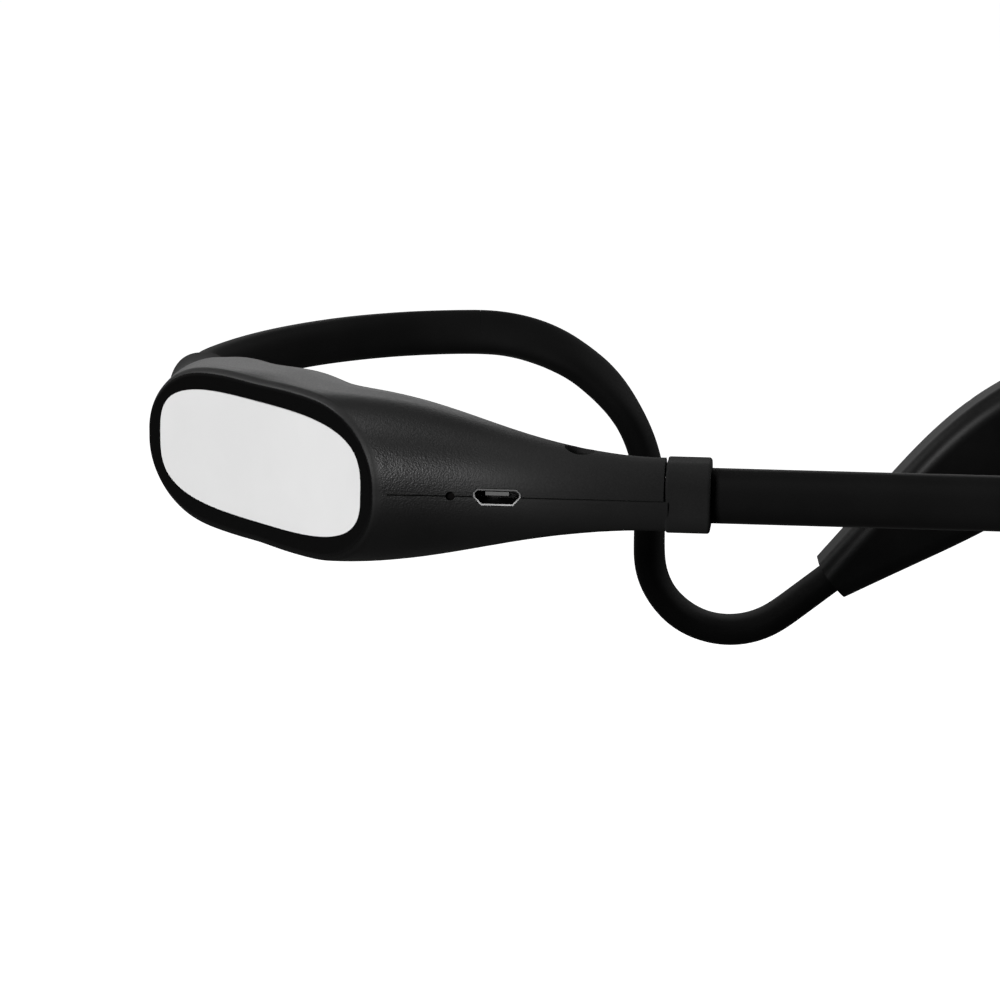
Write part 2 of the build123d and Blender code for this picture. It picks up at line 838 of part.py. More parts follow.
with BuildPart() as head_housing:
    add(head_form.part)
    split(bisect_by=split_plane, keep=Keep.BOTTOM)
    add(arm_hole.part, mode=Mode.SUBTRACT)
    with BuildSketch(split_plane):
        with Locations((lens_centre, 0)):
            SlotOverall(led_board_length + 2 * seat_clearance, led_board_width + 2 * seat_clearance)
    extrude(amount=-led_board_thickness, mode=Mode.SUBTRACT)
write_pair(head_housing, "head_housing")

with BuildPart() as head_bezel:
    add(head_form.part)
    split(bisect_by=split_plane, keep=Keep.TOP)
    add(arm_hole.part, mode=Mode.SUBTRACT)
    with BuildSketch(split_plane):
        with Locations((lens_centre, 0)):
            SlotOverall(lens_length - 2 * window_ledge, lens_width - 2 * window_ledge)
    extrude(amount=corner_height, mode=Mode.SUBTRACT)
    with BuildSketch(light_side.offset(lens_top - lens_thickness)):
        with Locations((lens_centre, 0)):
            SlotOverall(lens_length + 2 * seat_clearance, lens_width + 2 * seat_clearance)
    extrude(amount=corner_height, mode=Mode.SUBTRACT)
write_pair(head_bezel, "head_bezel")

with BuildPart() as lamp_lens:
    with BuildSketch(light_side.offset(lens_top - lens_thickness)):
        with Locations((lens_centre, 0)):
            SlotOverall(lens_length, lens_width)
    extrude(amount=lens_thickness)
write_pair(lamp_lens, "lamp_lens")

with BuildPart() as led_board:
    with BuildSketch(split_plane.offset(-led_board_thickness)):
        with Locations((lens_centre, 0)):
            SlotOverall(led_board_length, led_board_width)
    extrude(amount=led_board_thickness)
write_pair(led_board, "led_board")

with BuildPart() as leds:
    with BuildSketch(split_plane):
        with Locations((lens_centre, 0)):
            with GridLocations(led_pitch, 0, led_count, 1):
                Rectangle(led_length, led_width)
    extrude(amount=led_height)
write_pair(leds, "leds")
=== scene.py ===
import bpy
import json
from math import cos, radians, sin
from mathutils import Matrix, Vector


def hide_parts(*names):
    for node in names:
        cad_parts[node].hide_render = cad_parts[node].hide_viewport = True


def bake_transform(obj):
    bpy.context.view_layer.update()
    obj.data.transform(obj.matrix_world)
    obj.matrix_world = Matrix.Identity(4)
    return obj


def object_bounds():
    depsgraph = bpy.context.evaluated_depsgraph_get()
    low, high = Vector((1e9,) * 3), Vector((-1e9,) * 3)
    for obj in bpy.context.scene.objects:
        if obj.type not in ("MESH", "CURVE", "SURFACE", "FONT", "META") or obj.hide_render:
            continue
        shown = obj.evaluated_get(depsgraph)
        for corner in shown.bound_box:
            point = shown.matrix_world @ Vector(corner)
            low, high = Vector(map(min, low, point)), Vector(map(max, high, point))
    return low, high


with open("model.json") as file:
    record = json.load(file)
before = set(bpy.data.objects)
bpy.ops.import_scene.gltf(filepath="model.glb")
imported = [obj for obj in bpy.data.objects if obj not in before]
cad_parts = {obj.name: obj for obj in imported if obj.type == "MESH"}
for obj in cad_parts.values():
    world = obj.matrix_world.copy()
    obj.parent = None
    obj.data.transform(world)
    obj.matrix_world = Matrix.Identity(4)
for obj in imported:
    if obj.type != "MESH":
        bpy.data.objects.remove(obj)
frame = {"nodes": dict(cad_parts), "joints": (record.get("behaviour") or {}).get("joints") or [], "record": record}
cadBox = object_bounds()
nodes = frame["nodes"]
record = frame["record"]
scene = bpy.context.scene
scene.view_settings.view_transform = "Standard"
mm = 0.001
up = Vector((0, 0, 1))
print("frame loaded", len(nodes), "nodes")

podSizes = {"socketX": 20.8, "facetLength": 61.0, "splay": 6.0}
socketMount = next(m for m in record["mounts"] if m["name"] == "usb_port")
socketPoint = Vector(socketMount["pos_m"])
podY = -Vector(socketMount["axis"]).normalized()      # along the arm leg
podX = Vector((podY.y, -podY.x, 0))                   # along the band leg
podCorner = socketPoint - podX * podSizes["socketX"] * mm
facetOut = (-podX - podY).normalized()                # out of the labelled facet
facetMiddle = podCorner + (podY - podX).normalized() * podSizes["facetLength"] / 2 * mm
jointAt = {j["name"]: Vector(j["pos_m"]) for j in frame["joints"]}


def mirrored(point):                                  # the same place on the left side
    return Vector((-point.x, point.y, point.z))


cameraSizes = {
    "lens": 147.6, "sensor": 36.0, "clipStart": 0.01, "clipEnd": 50.0,
    "azimuth": 60.5, "elevation": 12.8, "roll": 0.4, "distance": 0.6613,
    "pixelsPerMm": 6.2, "cornerPixel": (368.5, 493.8), "imageMiddle": 500,
}


def addCamera():                                      # matched by the slopes of the label's two edges
    s = cameraSizes
    a, e, r = radians(s["azimuth"]), radians(s["elevation"]), radians(s["roll"])
    back = Vector((sin(a) * cos(e), -cos(a) * cos(e), sin(e)))
    level = Vector((cos(a), sin(a), 0))
    right = level * cos(r) + back.cross(level) * sin(r)
    upward = back.cross(right)
    across = (s["cornerPixel"][0] - s["imageMiddle"]) / s["pixelsPerMm"] * mm
    above = (s["imageMiddle"] - s["cornerPixel"][1]) / s["pixelsPerMm"] * mm
    place = podCorner + back * s["distance"] - right * across - upward * above
    data = bpy.data.cameras.new("camera")
    data.lens = s["lens"]
    data.sensor_width = s["sensor"]
    data.clip_start = s["clipStart"]
    data.clip_end = s["clipEnd"]
    camera = bpy.data.objects.new("camera", data)
    camera.matrix_world = Matrix((
        (right.x, upward.x, back.x, place.x),
        (right.y, upward.y, back.y, place.y),
        (right.z, upward.z, back.z, place.z),
        (0, 0, 0, 1),
    ))
    scene.collection.objects.link(camera)
    scene.camera = camera
    return place, back, right


cameraPlace, cameraBack, cameraRight = addCamera()
print("camera at", [round(c, 3) for c in cameraPlace])


def newMaterial(name):
    material = bpy.data.materials.new(name)
    material.use_nodes = True
    tree = material.node_tree
    return material, tree, tree.nodes["Principled BSDF"]


def link(tree, a, aSocket, b, bSocket):
    tree.links.new(a.outputs[aSocket], b.inputs[bSocket])


def feed(tree, socket, value):                        # a plain value, or another node's output
    if isinstance(value, bpy.types.NodeSocket):
        tree.links.new(value, socket)
    else:
        socket.default_value = value


def grey(value):
    return (value, value, value, 1)


def objectPlace(tree):
    return tree.nodes.new("ShaderNodeTexCoord").outputs["Object"]


def splitPlace(tree, place):
    split = tree.nodes.new("ShaderNodeSeparateXYZ")
    feed(tree, split.inputs["Vector"], place)
    return split.outputs


noiseSizes = {"roughness": 0.55}


def noiseNode(tree, place, scale, detail):
    node = tree.nodes.new("ShaderNodeTexNoise")
    node.inputs["Scale"].default_value = scale
    node.inputs["Detail"].default_value = detail
    node.inputs["Roughness"].default_value = noiseSizes["roughness"]
    feed(tree, node.inputs["Vector"], place)
    return node.outputs


rampSizes = {"low": 0.35, "high": 0.65}


def rampNode(tree, share, low, high):
    ramp = tree.nodes.new("ShaderNodeValToRGB")
    for element, at, colour in zip(ramp.color_ramp.elements, rampSizes.values(), (low, high)):
        element.position = at
        element.color = colour
    feed(tree, ramp.inputs["Fac"], share)
    return ramp.outputs["Color"]


def mixNode(tree, share, low, high, kind="MIX"):
    node = tree.nodes.new("ShaderNodeMixRGB")
    node.blend_type = kind
    for label, value in (("Fac", share), ("Color1", low), ("Color2", high)):
        feed(tree, node.inputs[label], value)
    return node.outputs["Color"]


def spreadNode(tree, share, low, high):
    spread = tree.nodes.new("ShaderNodeMapRange")
    for label, value in (("Value", share), ("To Min", low), ("To Max", high)):
        feed(tree, spread.inputs[label], value)
    return spread.outputs["Result"]


def stepNode(tree, value, low, high, toLow=0.0, toHigh=1.0):
    spread = tree.nodes.new("ShaderNodeMapRange")
    spread.interpolation_type = "SMOOTHSTEP"
    given = {"Value": value, "From Min": low, "From Max": high, "To Min": toLow, "To Max": toHigh}
    for label, part in given.items():
        feed(tree, spread.inputs[label], part)
    return spread.outputs["Result"]


def bumpNode(tree, shader, relief, strength, distance):
    bump = tree.nodes.new("ShaderNodeBump")
    for label, value in (("Height", relief), ("Strength", strength), ("Distance", distance)):
        feed(tree, bump.inputs[label], value)
    link(tree, bump, "Normal", shader, "Normal")


def mathNode(tree, operation, *values):
    node = tree.nodes.new("ShaderNodeMath")
    node.operation = operation
    for socket, value in zip(node.inputs, values):
        feed(tree, socket, value)
    return node.outputs["Value"]


def vectorNode(tree, operation, a, b):
    node = tree.nodes.new("ShaderNodeVectorMath")
    node.operation = operation
    feed(tree, node.inputs[0], a)
    feed(tree, node.inputs[1], b)
    return node.outputs["Value"]


def rightSidePlace(tree, place):                      # both pods share the right pod's masks
    split = splitPlace(tree, place)
    folded = tree.nodes.new("ShaderNodeCombineXYZ")
    sideX = mathNode(tree, "MULTIPLY", mathNode(tree, "ABSOLUTE", split["X"]), -1.0)
    for label, value in (("X", sideX), ("Y", split["Y"]), ("Z", split["Z"])):
        feed(tree, folded.inputs[label], value)
    return folded.outputs["Vector"], split["Z"]


grainSizes = {
    "cell": 3600, "smoothness": 0.6, "warp": (1500, 2.0), "warpShare": 0.0006, "cloud": (60, 4.0),
    "height": 0.0001, "strength": 0.4, "faint": 0.1, "legKeeps": 0.75,
    "belly": (-7.0, 0.0), "crown": (11.5, 13.8), "leg": (34.0, 70.0),
    "rim": (0.5, 1.4), "facet": (0.05, 0.3),
    "rimPaintedShade": 0.0018, "dark": 0.0034, "light": 0.0052, "rough": (0.46, 0.38),
    "legRough": 0.55, "rimRough": 0.2, "facetGloss": 0.4, "specular": 0.3,
}


def grainedPlastic():
    s = grainSizes
    material, tree, shader = newMaterial("grained_black_plastic")
    place = objectPlace(tree)
    point, height = rightSidePlace(tree, place)
    facetAt = facetMiddle.dot(facetOut)
    depth = mathNode(tree, "SUBTRACT", facetAt, vectorNode(tree, "DOT_PRODUCT", point, facetOut))
    away = vectorNode(tree, "DISTANCE", point, facetMiddle)
    zones = ("belly", "crown", "leg", "rim", "facet")
    zone = {name: (s[name][0] * mm, s[name][1] * mm) for name in zones}
    leg = stepNode(tree, away, *zone["leg"])          # the legs' ends are smooth and dull
    behindRim = stepNode(tree, depth, *zone["rim"])
    onFacet = stepNode(tree, depth, *zone["facet"], 1.0, 0.0)
    aboveBelly = stepNode(tree, height, *zone["belly"], s["faint"], 1.0)
    belowCrown = stepNode(tree, height, *zone["crown"], 1.0, s["faint"])
    grained = mathNode(tree, "MULTIPLY", behindRim, mathNode(tree, "MULTIPLY", aboveBelly, belowCrown))
    legFade = mathNode(tree, "SUBTRACT", 1.0, mathNode(tree, "MULTIPLY", leg, s["legKeeps"]))
    grained = mathNode(tree, "MULTIPLY", grained, legFade)
    warp = noiseNode(tree, place, *s["warp"])["Color"]
    cells = tree.nodes.new("ShaderNodeTexVoronoi")
    cells.feature = "SMOOTH_F1"
    cells.inputs["Scale"].default_value = s["cell"]
    cells.inputs["Smoothness"].default_value = s["smoothness"]
    feed(tree, cells.inputs["Vector"], mixNode(tree, s["warpShare"], place, warp, "ADD"))
    cloud = noiseNode(tree, place, *s["cloud"])["Fac"]
    tone = rampNode(tree, cloud, grey(s["dark"]), grey(s["light"]))
    # the rim round the label gets a darker base colour: painted shade
    feed(tree, shader.inputs["Base Color"], mixNode(tree, behindRim, grey(s["rimPaintedShade"]), tone))
    rough = stepNode(tree, cells.outputs["Distance"], 0.0, 1.0, *s["rough"])
    rough = mathNode(tree, "ADD", rough, mathNode(tree, "MULTIPLY", leg, s["legRough"]))
    onRim = mathNode(tree, "SUBTRACT", 1.0, behindRim)
    rough = mathNode(tree, "ADD", rough, mathNode(tree, "MULTIPLY", onRim, s["rimRough"]))
    rough = mathNode(tree, "SUBTRACT", rough, mathNode(tree, "MULTIPLY", onFacet, s["facetGloss"]))
    feed(tree, shader.inputs["Roughness"], rough)
    shader.inputs["Specular IOR Level"].default_value = s["specular"]
    relief = mathNode(tree, "MULTIPLY", grained, s["strength"])
    bumpNode(tree, shader, cells.outputs["Distance"], relief, s["height"])
    return material


socketSizes = {
    "rim": 0.12, "rimFade": 1.6, "lipHalf": 1.2, "tongueHalf": 1.95, "tongueLow": 0.15, "tongueHigh": 0.95,
    "lipPaintedLight": (0.7, 0.18), "wellPaintedShade": 0.03, "tongueTone": 0.1,
    "scuff": (700, 4.0), "rough": (0.36, 0.46), "bump": (0.06, 0.0001),
}


def platedMetal():                                    # lip painted bright below and dark above (painted light), painted shade in the well, grey tongue
    s = socketSizes
    material, tree, shader = newMaterial("plated_socket_metal")
    place = objectPlace(tree)
    height = splitPlace(tree, place)["Z"]
    deep = mathNode(tree, "SUBTRACT", vectorNode(tree, "DOT_PRODUCT", place, podY), podCorner.dot(podY))
    along = vectorNode(tree, "DOT_PRODUCT", place, podX)
    along = mathNode(tree, "ABSOLUTE", mathNode(tree, "SUBTRACT", along, socketPoint.dot(podX)))
    inside = stepNode(tree, deep, s["rim"] * mm, s["rim"] * s["rimFade"] * mm)
    tongue = inside
    limits = (("LESS_THAN", along, "tongueHalf"), ("LESS_THAN", height, "tongueHigh"),
              ("GREATER_THAN", height, "tongueLow"))
    for test, value, limit in limits:
        tongue = mathNode(tree, "MULTIPLY", tongue, mathNode(tree, test, value, s[limit] * mm))
    # painted light: the lip is painted bright at its bottom and darker towards its top
    paintedLightLip = stepNode(tree, height, -s["lipHalf"] * mm, s["lipHalf"] * mm, *s["lipPaintedLight"])
    # the well inside the socket is painted near black: painted shade
    tone = mixNode(tree, inside, paintedLightLip, grey(s["wellPaintedShade"]))
    feed(tree, shader.inputs["Base Color"], mixNode(tree, tongue, tone, grey(s["tongueTone"])))
    feed(tree, shader.inputs["Metallic"], mathNode(tree, "SUBTRACT", 1.0, tongue))
    scuff = noiseNode(tree, place, *s["scuff"])["Fac"]
    feed(tree, shader.inputs["Roughness"], spreadNode(tree, scuff, *s["rough"]))
    bumpNode(tree, shader, scuff, *s["bump"])
    return material


finishSizes = {
    "smooth_black_plastic": {
        "cloud": (90, 4.0), "fine": (2600, 2.0), "dark": grey(0.0024), "light": grey(0.004),
        "rough": (0.38, 0.48), "bump": (0.08, 0.0001), "Specular IOR Level": 0.1,
    },
    "black_silicone": {
        "cloud": (45, 5.0), "fine": (1800, 2.0), "dark": grey(0.0024), "light": grey(0.0042),
        "rough": (0.58, 0.7), "bump": (0.1, 0.00012), "Specular IOR Level": 0.05,
        "Sheen Weight": 0.04, "Sheen Roughness": 0.4,
    },
    "bare_white_label": {
        "cloud": (40, 4.0), "fine": (900, 3.0), "dark": grey(0.63), "light": grey(0.66),
        "rough": (0.42, 0.56), "fineGloss": True, "bump": (0.05, 0.0001), "Specular IOR Level": 0.3,
    },
    "dark_light_pipe": {
        "cloud": (500, 2.0), "dark": (0.0008, 0.0006, 0.0006, 1), "light": (0.002, 0.0014, 0.0014, 1),
        "rough": (0.4, 0.55), "Specular IOR Level": 0.05,
    },
    "green_board": {
        "cloud": (1200, 2.0), "dark": (0.01, 0.07, 0.03, 1), "light": (0.02, 0.12, 0.05, 1),
        "rough": (0.3, 0.45), "bump": (0.1, 0.0001),
    },
    "cell_foil": {
        "cloud": (160, 5.0), "dark": grey(0.45), "light": grey(0.62),
        "rough": (0.3, 0.5), "bump": (0.2, 0.0004), "Metallic": 0.9,
    },
    "frosted_lens": {
        "cells": 900, "dark": grey(0.72), "light": grey(0.82),
        "rough": (0.25, 0.4), "bump": (0.35, 0.0003),
    },
    "led_phosphor": {
        "cloud": (1500, 2.0), "dark": (0.75, 0.55, 0.1, 1), "light": (0.9, 0.75, 0.25, 1),
        "rough": (0.3, 0.5),
    },
    "zinc_steel": {
        "cloud": (600, 4.0), "dark": grey(0.38), "light": grey(0.55),
        "rough": (0.28, 0.45), "bump": (0.08, 0.0001), "Metallic": 1.0,
    },
}


def plainFinish(name):                                # cloudy tone, uneven gloss, fine relief
    s = finishSizes[name]
    material, tree, shader = newMaterial(name)
    place = objectPlace(tree)
    if "cells" in s:
        cells = tree.nodes.new("ShaderNodeTexVoronoi")
        cells.inputs["Scale"].default_value = s["cells"]
        feed(tree, cells.inputs["Vector"], place)
        cloud = cells.outputs["Distance"]
    else:
        cloud = noiseNode(tree, place, *s["cloud"])["Fac"]
    fine = noiseNode(tree, place, *s["fine"])["Fac"] if "fine" in s else cloud
    feed(tree, shader.inputs["Base Color"], rampNode(tree, cloud, s["dark"], s["light"]))
    glossBy = fine if "fineGloss" in s else cloud
    feed(tree, shader.inputs["Roughness"], spreadNode(tree, glossBy, *s["rough"]))
    for label in ("Metallic", "Specular IOR Level", "Sheen Weight", "Sheen Roughness"):
        if label in s:
            shader.inputs[label].default_value = s[label]
    if "bump" in s:
        bumpNode(tree, shader, fine, *s["bump"])
    return material


made = {name: plainFinish(name) for name in finishSizes}
finishes = {
    "grained_plastic": grainedPlastic(), "socket_metal": platedMetal(),
    "band_silicone": made["black_silicone"], "arm_silicone": made["black_silicone"],
    "spring_steel": made["zinc_steel"], "screw_steel": made["zinc_steel"],
    "smooth_plastic": made["smooth_black_plastic"], "button_plastic": made["smooth_black_plastic"],
    "switch_plastic": made["smooth_black_plastic"], "label_film": made["bare_white_label"],
    "light_pipe": made["dark_light_pipe"], "board_laminate": made["green_board"],
    "cell_foil": made["cell_foil"], "lens_plastic": made["frosted_lens"],
    "led_phosphor": made["led_phosphor"],
}
for subpart in record["subparts"]:
    node = nodes[subpart["node"]]
    capped = subpart["node"].startswith("end_cap")    # the cap's side carries the shells' grain
    node.data.materials.clear()
    node.data.materials.append(finishes["grained_plastic" if capped else subpart["material_slot"]])
print("finishes", len(finishes))


def whiteForCamera(tree, strength, other):            # reflections see the darker value
    path = tree.nodes.new("ShaderNodeLightPath").outputs
    seen = mathNode(tree, "MAXIMUM", path["Is Camera Ray"], path["Is Transmission Ray"])
    return spreadNode(tree, seen, other, strength)


stageSizes = {
    "floorDrop": 0.36, "floorSpan": 12.0, "floorCloud": (3, 2.0), "floorTone": (0.93, 0.95),
    "floorDull": 0.06, "floorRough": (0.85, 0.95), "floorLight": 0.85,
    "aroundLevel": 0.05, "backdropLevel": 0.13, "backdropTurn": (0.1, 0.8), "backdropRise": (0.25, 0.75),
    "overheadLevel": 0.22, "overheadRise": (0.5, 0.9),
}


def addWorld():
    s = stageSizes
    world = bpy.data.worlds.new("studio")
    world.use_nodes = True
    scene.world = world
    tree = world.node_tree
    heading = tree.nodes.new("ShaderNodeTexCoord").outputs["Generated"]
    behind = -Vector((cameraBack.x, cameraBack.y, 0)).normalized()
    facing = vectorNode(tree, "DOT_PRODUCT", heading, behind)
    rise = splitPlace(tree, heading)["Z"]
    low = stepNode(tree, mathNode(tree, "ABSOLUTE", rise), *s["backdropRise"], 1.0, 0.0)
    glow = mathNode(tree, "MULTIPLY", stepNode(tree, facing, *s["backdropTurn"]), low)
    around = mathNode(tree, "ADD", mathNode(tree, "MULTIPLY", glow, s["backdropLevel"]), s["aroundLevel"])
    above = mathNode(tree, "MULTIPLY", stepNode(tree, rise, *s["overheadRise"]), s["overheadLevel"])
    around = mathNode(tree, "ADD", around, above)
    background = tree.nodes["Background"]
    background.inputs["Color"].default_value = grey(1.0)
    feed(tree, background.inputs["Strength"], whiteForCamera(tree, 1.0, around))


def addFloor():
    s = stageSizes
    half = s["floorSpan"] / 2
    low = cadBox[0][2] - s["floorDrop"]
    data = bpy.data.meshes.new("floor")
    corners = [(-half, -half, low), (half, -half, low), (half, half, low), (-half, half, low)]
    data.from_pydata(corners, [], [(0, 1, 2, 3)])
    floor = bpy.data.objects.new("floor", data)
    scene.collection.objects.link(floor)
    material, tree, shader = newMaterial("floor_paper")
    cloud = noiseNode(tree, objectPlace(tree), *s["floorCloud"])["Fac"]
    tone = rampNode(tree, cloud, *(grey(level) for level in s["floorTone"]))
    seen = mixNode(tree, whiteForCamera(tree, 1.0, 0.0), grey(s["floorDull"]), tone)
    feed(tree, shader.inputs["Base Color"], seen)
    feed(tree, shader.inputs["Roughness"], spreadNode(tree, cloud, *s["floorRough"]))
    shader.inputs["Emission Color"].default_value = grey(1.0)
    feed(tree, shader.inputs["Emission Strength"], whiteForCamera(tree, s["floorLight"], 0.0))
    data.materials.append(material)


lightSizes = {
    "front": {
        "toward": facetOut * 0.8 + cameraBack * 0.6 + up * 0.3,
        "distance": 1.4, "size": (0.36, 0.36), "power": 22.0,
    },
    "rear": {
        "toward": up * 0.5 - cameraBack,
        "distance": 1.4, "size": (1.4, 0.5), "power": 2.5,
    },
    "overhead": {
        "toward": up + facetOut * 0.3 - cameraBack * 0.15,
        "distance": 1.0, "size": (0.35, 0.35), "power": 2.0,
    },
    "back_fill": {
        "toward": up * 0.7 - cameraRight - cameraBack * 0.35,
        "distance": 1.6, "size": (1.0, 0.6), "power": 7.5,
    },
    "side_fill": {
        "toward": up * 0.7 + cameraRight - cameraBack * 0.35,
        "distance": 1.6, "size": (1.0, 0.6), "power": 7.5,
    },
}


def addLights():
    for name, s in lightSizes.items():
        data = bpy.data.lights.new(name, "AREA")
        data.shape = "RECTANGLE"
        data.size, data.size_y = s["size"]
        data.energy = s["power"]
        light = bpy.data.objects.new(name, data)
        direction = s["toward"].normalized()
        light.location = podCorner + direction * s["distance"]
        light.rotation_euler = direction.to_track_quat("Z", "Y").to_euler()
        scene.collection.objects.link(light)


addWorld()
addFloor()
addLights()
print("stage and lights", len(lightSizes))


def treeInput(tree, name, kind):
    return tree.interface.new_socket(name=name, in_out="INPUT", socket_type=kind).identifier


def roundedAxis(tree, value, power, size):            # one axis of the oval's outline
    exponent = mathNode(tree, "DIVIDE", 2.0, power)
    share = mathNode(tree, "POWER", mathNode(tree, "ABSOLUTE", value), exponent)
    signed = mathNode(tree, "MULTIPLY", share, mathNode(tree, "SIGN", value))
    return mathNode(tree, "MULTIPLY", signed, mathNode(tree, "MULTIPLY", size, 0.5))


def ovalSkinTree():                                   # sweeps a flat oval along a sprung strip's route
    tree = bpy.data.node_groups.new("flat_oval_skin", "GeometryNodeTree")
    kinds = {
        "Route": "NodeSocketGeometry", "Thick": "NodeSocketFloat", "Wide": "NodeSocketFloat",
        "Power": "NodeSocketFloat", "Around": "NodeSocketInt", "Finish": "NodeSocketMaterial",
    }
    inputs = {name: treeInput(tree, name, kind) for name, kind in kinds.items()}
    tree.interface.new_socket(name="Skin", in_out="OUTPUT", socket_type="NodeSocketGeometry")
    given = tree.nodes.new("NodeGroupInput")
    route = tree.nodes.new("GeometryNodeMeshToCurve")
    link(tree, given, "Route", route, "Mesh")
    across = tree.nodes.new("GeometryNodeInputNamedAttribute")
    across.data_type = "FLOAT_VECTOR"
    across.inputs["Name"].default_value = "across"
    turned = tree.nodes.new("GeometryNodeSetCurveNormal")
    turned.mode = "FREE"
    link(tree, route, "Curve", turned, "Curve")
    link(tree, across, "Attribute", turned, "Normal")
    ring = tree.nodes.new("GeometryNodeCurvePrimitiveCircle")
    ring.inputs["Radius"].default_value = 1.0
    link(tree, given, "Around", ring, "Resolution")
    split = splitPlace(tree, tree.nodes.new("GeometryNodeInputPosition").outputs["Position"])
    oval = tree.nodes.new("ShaderNodeCombineXYZ")
    for axis, size in (("X", "Thick"), ("Y", "Wide")):
        edge = roundedAxis(tree, split[axis], given.outputs["Power"], given.outputs[size])
        feed(tree, oval.inputs[axis], edge)
    outline = tree.nodes.new("GeometryNodeSetPosition")
    link(tree, ring, "Curve", outline, "Geometry")
    link(tree, oval, "Vector", outline, "Position")
    swept = tree.nodes.new("GeometryNodeCurveToMesh")
    swept.inputs["Fill Caps"].default_value = True
    link(tree, turned, "Curve", swept, "Curve")
    link(tree, outline, "Geometry", swept, "Profile Curve")
    smooth = tree.nodes.new("GeometryNodeSetShadeSmooth")
    link(tree, swept, "Mesh", smooth, "Geometry")
    whole = tree.nodes.new("GeometryNodeRealizeInstances")
    link(tree, smooth, "Geometry", whole, "Geometry")
    finished = tree.nodes.new("GeometryNodeSetMaterial")
    link(tree, whole, "Geometry", finished, "Geometry")
    link(tree, given, "Finish", finished, "Material")
    result = tree.nodes.new("NodeGroupOutput")
    link(tree, finished, "Geometry", result, "Skin")
    return tree, inputs


skinTree, skinInputs = ovalSkinTree()


def between(table, at):
    for (s0, v0), (s1, v1) in zip(table, table[1:]):
        if at <= s1:
            share = max(0.0, (at - s0) / (s1 - s0))
            share = share * share * (3 - 2 * share)
            return v0 + (v1 - v0) * share
    return table[-1][1]


def eased(points, rounds):                            # rounds off the route's joins
    for _ in range(rounds):
        kept = [p.copy() for p in points]
        for i in range(1, len(points) - 1):
            points[i] = kept[i] * 0.5 + (kept[i - 1] + kept[i + 1]) * 0.25
    return points


def stations(points, firstWide, twists):              # place, wide axis, heading and length so far
    lengths = [0.0]
    for a, b in zip(points, points[1:]):
        lengths.append(lengths[-1] + (b - a).length / mm)
    wide = firstWide.copy()
    rows = []
    for i, point in enumerate(points):
        before = points[max(0, i - 1)]
        after = points[min(len(points) - 1, i + 1)]
        heading = (after - before).normalized()
        wide = (wide - heading * wide.dot(heading)).normalized()
        turn = radians(between(twists, lengths[i]))
        side = wide.cross(heading)
        rows.append((point, wide * cos(turn) + side * sin(turn), heading, lengths[i]))
    return rows


def sweptSkin(name, rows, s, slot):
    route = bpy.data.meshes.new(name)
    route.from_pydata([row[0] for row in rows], [(i, i + 1) for i in range(len(rows) - 1)], [])
    across = route.attributes.new("across", "FLOAT_VECTOR", "POINT")
    across.data.foreach_set("vector", [c for row in rows for c in row[1].cross(row[2]).normalized()])
    skin = bpy.data.objects.new(name, route)
    scene.collection.objects.link(skin)
    modifier = skin.modifiers.new("skin", "NODES")
    modifier.node_group = skinTree
    given = {
        "Thick": s["thick"] * mm, "Wide": s["wide"] * mm, "Power": s["power"],
        "Around": s["around"], "Finish": finishes[slot],
    }
    for label, value in given.items():
        modifier[skinInputs[label]] = value
    evaluated = skin.evaluated_get(bpy.context.evaluated_depsgraph_get())
    shaped = bpy.data.meshes.new_from_object(evaluated)
    skin.modifiers.clear()
    skin.data = shaped
    return skin


def mirroredRows(rows):
    return [(mirrored(p), mirrored(w), mirrored(h), s) for p, w, h, s in rows]


bandSizes = {
    "radius": 75.0, "turn": 55.0, "straight": 70.0, "tang": 5.0, "wide": 9.0, "thick": 5.4,
    "power": 2.7, "around": 44, "step": 1.2, "easing": 6, "flexLength": 30.0,
}


def bandRoute():
    s = bandSizes
    points = []
    middle = Vector((0, s["thick"] / 2 - s["radius"], 0)) * mm
    arcCount = int(s["radius"] * radians(s["turn"]) / s["step"])
    for i in range(arcCount + 1):
        a = radians(s["turn"]) * i / arcCount
        points.append(middle + Vector((-sin(a), cos(a), 0)) * s["radius"] * mm)
    heading = Vector((-cos(radians(s["turn"])), -sin(radians(s["turn"])), 0))
    runCount = int((s["straight"] + s["tang"]) / s["step"])
    start = points[-1]
    for i in range(1, runCount + 1):
        points.append(start + heading * (s["straight"] + s["tang"]) * mm * i / runCount)
    return eased(points, s["easing"]), heading


def addBands():
    s = bandSizes
    points, heading = bandRoute()
    rows = stations(points, up, [(0, 0), (1, 0)])     # the band has no twist
    for side, these in (("right", rows), ("left", mirroredRows(rows))):
        skin = sweptSkin("band_skin_" + side, these, s, "band_silicone")
        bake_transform(skin)
        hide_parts("band_sleeve_mid", "band_sleeve_" + side)


addBands()
print("band skins")

armSizes = {
    "tilt": 4.0, "lean": 30.0, "lead": 4.0, "sweep": 56.5, "drop": 33.3, "run": 10.8, "hook": 16.1,
    "hookTurn": 128.6, "tipLead": 4.0, "tipRun": 8.2, "root": 12.0, "insert": 4.0, "step": 0.9,
    "easing": 8, "wide": 8.5, "thick": 5.4, "power": 2.6, "around": 40, "flexLength": 12.0,
}
armTwists = [                                         # length along the arm in mm, turn in degrees
    (0, 0), (40, 2), (70, 18), (84, 34), (98, 58), (112, 78),
    (127, 72), (138, 70), (150, 84), (160, 90), (400, 90),
]


def arcPoints(centre, axisA, axisB, radius, fromDeg, toDeg, step):
    count = max(2, int(abs(radians(toDeg - fromDeg)) * radius / step))
    points = []
    for i in range(1, count + 1):
        a = radians(fromDeg + (toDeg - fromDeg) * i / count)
        points.append(centre + (axisA * cos(a) + axisB * sin(a)) * radius * mm)
    return points


def linePoints(start, end, step):
    count = max(1, int((end - start).length / mm / step))
    return [start + (end - start) * i / count for i in range(1, count + 1)]


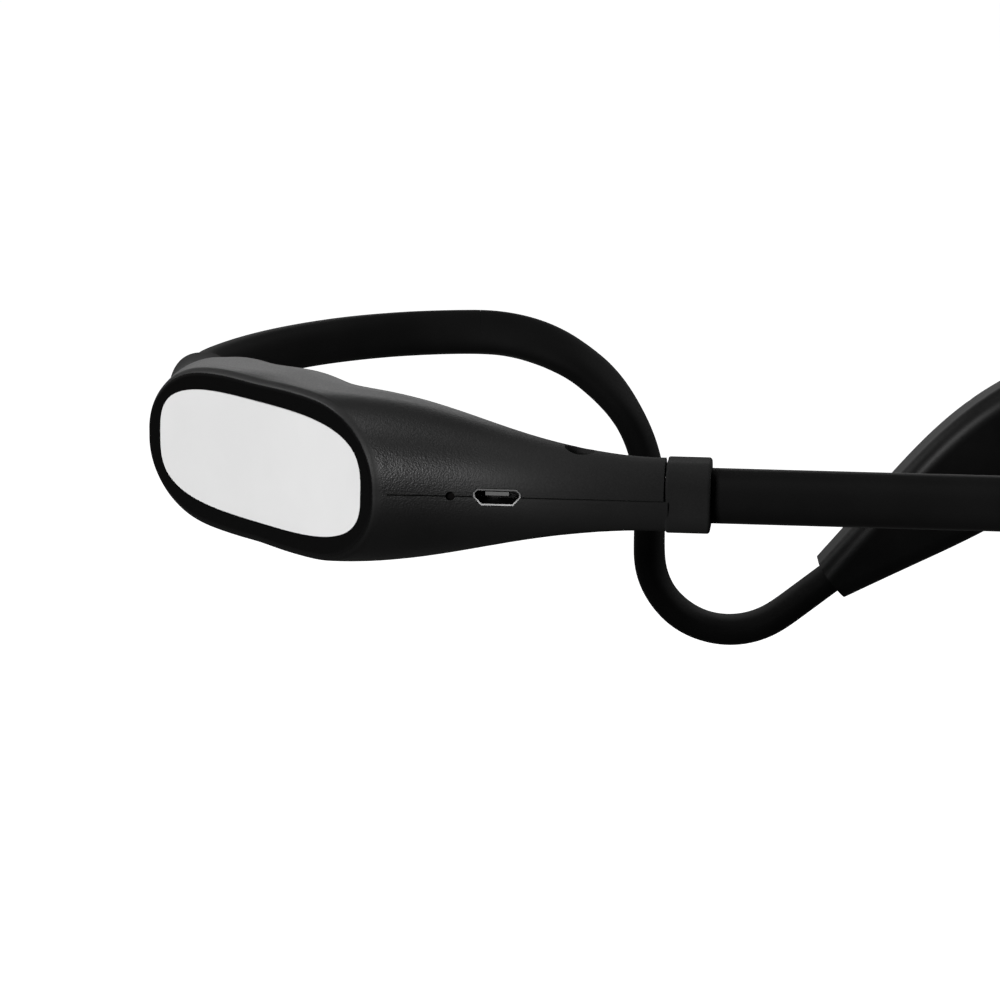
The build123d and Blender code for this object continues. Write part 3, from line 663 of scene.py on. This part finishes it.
def armRoute():                                       # root, level sweep, drop, hook, tip
    s = armSizes
    tilt, splay, lean = radians(s["tilt"]), radians(podSizes["splay"]), radians(s["lean"])
    u = podX * cos(splay) + podY * sin(splay)
    out = podY * cos(splay) - podX * sin(splay)
    v = out * cos(tilt) + up * sin(tilt)
    w = up * cos(tilt) - out * sin(tilt)
    pivot = jointAt["arm_swing_right"]
    leadDir = u * sin(lean) + v * cos(lean)
    leadNormal = u * cos(lean) - v * sin(lean)
    points = [pivot - v * s["root"] * mm]
    points += linePoints(points[0], pivot, s["step"])
    start = pivot + leadDir * s["lead"] * mm
    points += linePoints(pivot, start, s["step"])
    middle = start + leadNormal * s["sweep"] * mm
    points += arcPoints(middle, u, v, s["sweep"], 180 - s["lean"], 90, s["step"])
    levelEnd = len(points) - 1
    middle = points[-1] - w * s["drop"] * mm
    points += arcPoints(middle, u, w, s["drop"], 90, 0, s["step"])
    dropEnd = points[-1]
    points += linePoints(dropEnd, dropEnd - w * s["run"] * mm, s["step"])
    middle = points[-1] + u * s["hook"] * mm
    hookAt = len(points) - 1
    points += arcPoints(middle, u, w, s["hook"], 180, 180 + s["hookTurn"], s["step"])
    hookBottom = (hookAt + len(points) - 1) // 2
    last = radians(180 + s["hookTurn"])
    tipDir = u * -sin(last) + w * cos(last)
    end = points[-1] + tipDir * (s["tipLead"] + s["tipRun"] + s["insert"]) * mm
    points += linePoints(points[-1], end, s["step"])
    return eased(points, s["easing"]), w, (v, leadDir, -w, tipDir), levelEnd, hookBottom


def addArms():
    s = armSizes
    points, w, headings, levelEnd, hookBottom = armRoute()
    rows = stations(points, w, armTwists)
    cuts = (
        ("arm_skin_root", 0, levelEnd, "arm_swing", "pod_", "arm_near_", headings[0] + headings[1]),
        ("arm_skin_drop", levelEnd, hookBottom, "arm_bend", "arm_near_", "arm_far_", headings[2]),
        ("arm_skin_tip", hookBottom, len(rows) - 1, "arm_tip", "arm_far_", "lamp_head_", headings[3]),
    )
    sleeves = {
        "arm_skin_root": ("arm_sleeve_root_", "arm_sleeve_near_"),
        "arm_skin_drop": ("arm_sleeve_near_", "arm_sleeve_far_"),
        "arm_skin_tip": ("arm_sleeve_far_", "arm_sleeve_tip_"),
    }
    for side in ("right", "left"):
        for name, first, last, joint, bodyA, bodyB, heading in cuts:
            these = rows[first:last + 1]
            along = heading.normalized()
            if side == "left":
                these = mirroredRows(these)
                along = mirrored(along)
            skin = sweptSkin(name + "_" + side, these, s, "arm_silicone")
            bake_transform(skin)
            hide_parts(*(n + side for n in sleeves[name]))
    print("arm length", round(rows[-1][3], 1))


addArms()
print("arm skins")
